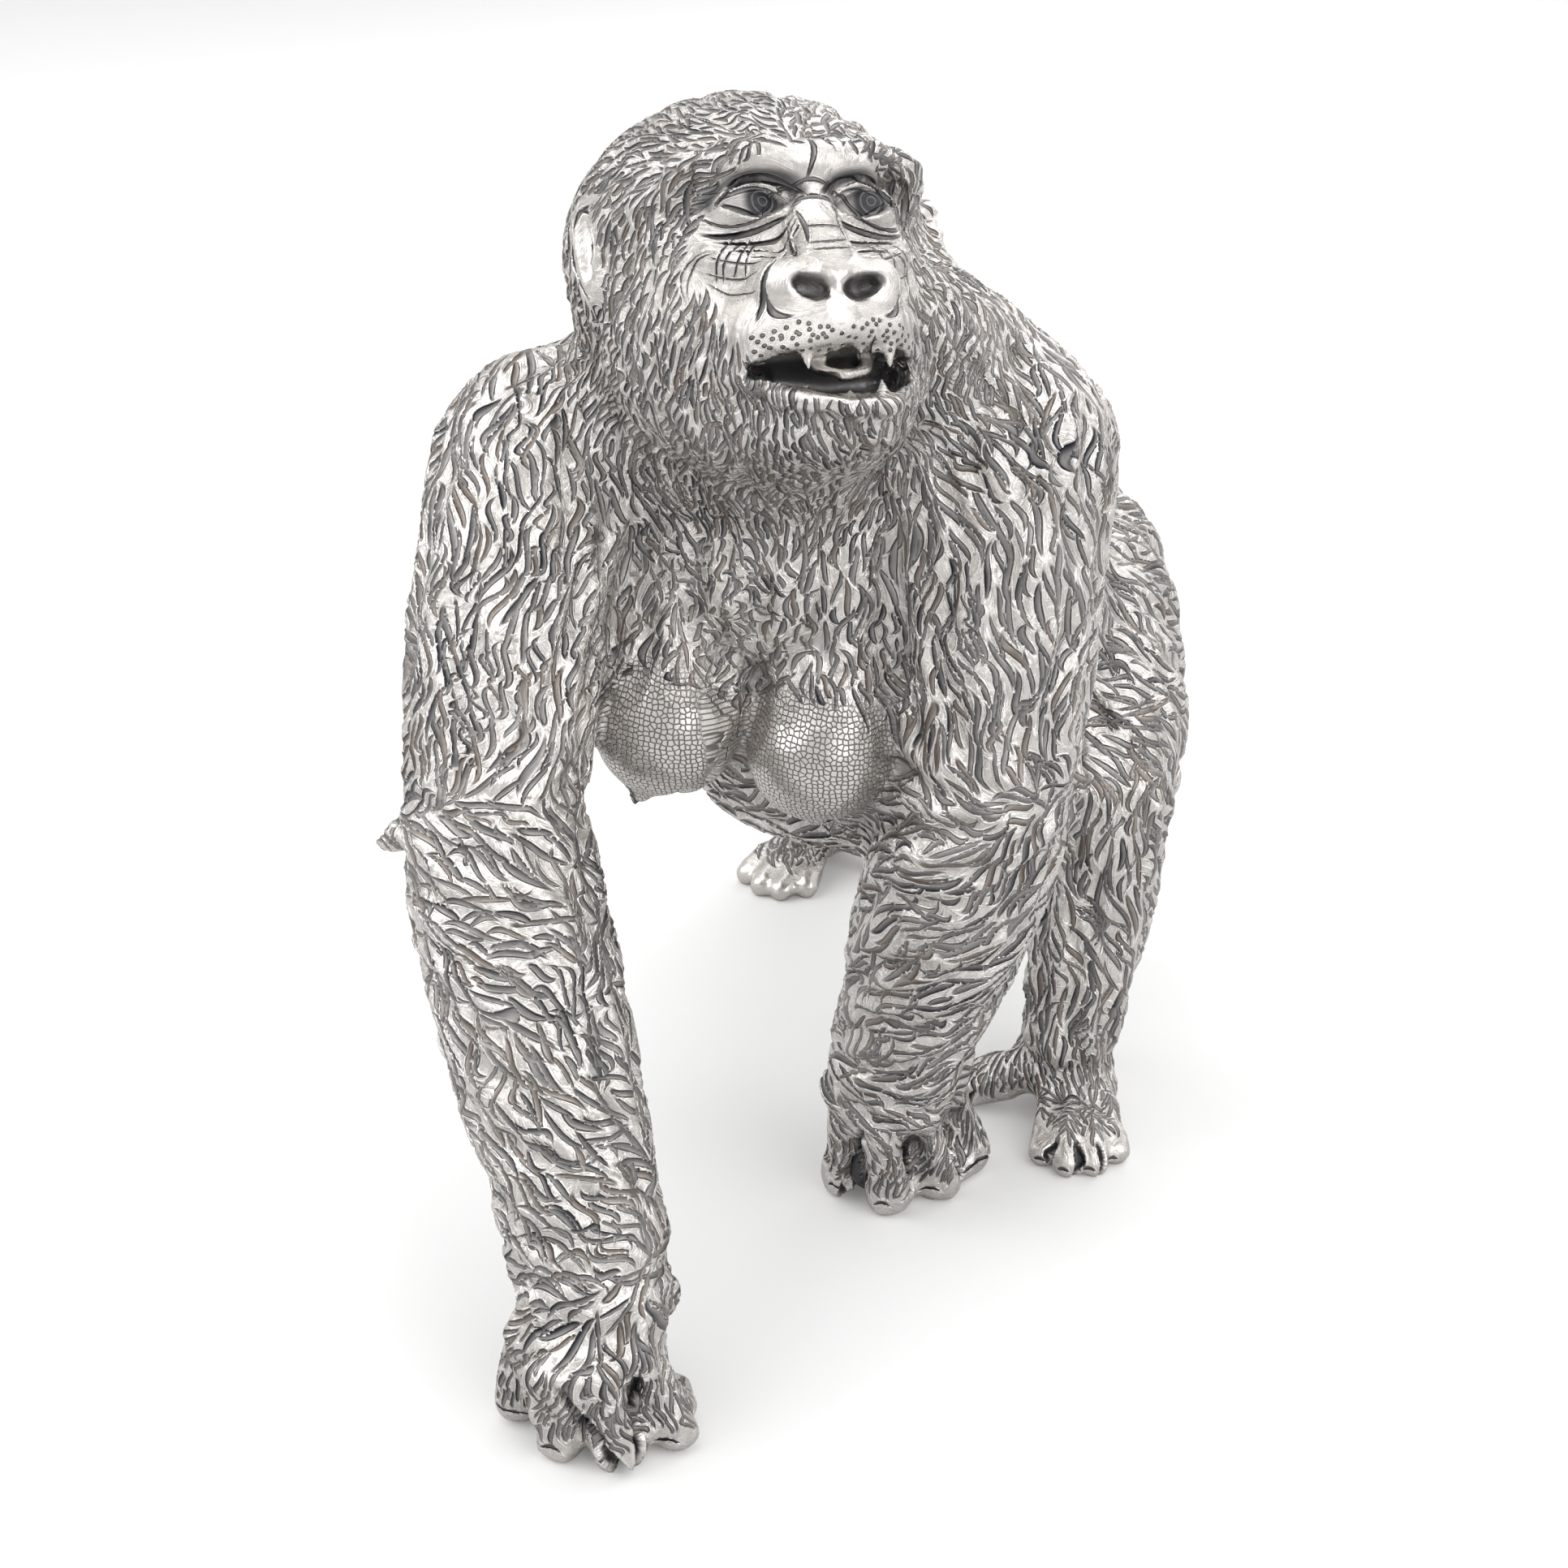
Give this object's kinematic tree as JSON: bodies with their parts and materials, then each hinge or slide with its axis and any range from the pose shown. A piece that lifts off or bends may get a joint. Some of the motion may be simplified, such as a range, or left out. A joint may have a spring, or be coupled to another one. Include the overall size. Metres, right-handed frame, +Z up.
{
  "type": "gorilla figurine",
  "caption": "Small cast figurine of a female gorilla walking on her knuckles, mouth open, head turned to her left, with carved fur in oxidised silver.",
  "frame": {"origin": "middle of the footprint, on the surface that she stands on", "axes": "+Z up, she walks towards -Y, her left side is +X"},
  "size_m": [0.07, 0.1444, 0.1196],
  "materials": {
    "oxidised_silver": "polished ridges over darkened grooves"
  },
  "bodies": {
    "root": {"gorilla": "oxidised_silver"}
  },
  "joints": []
}
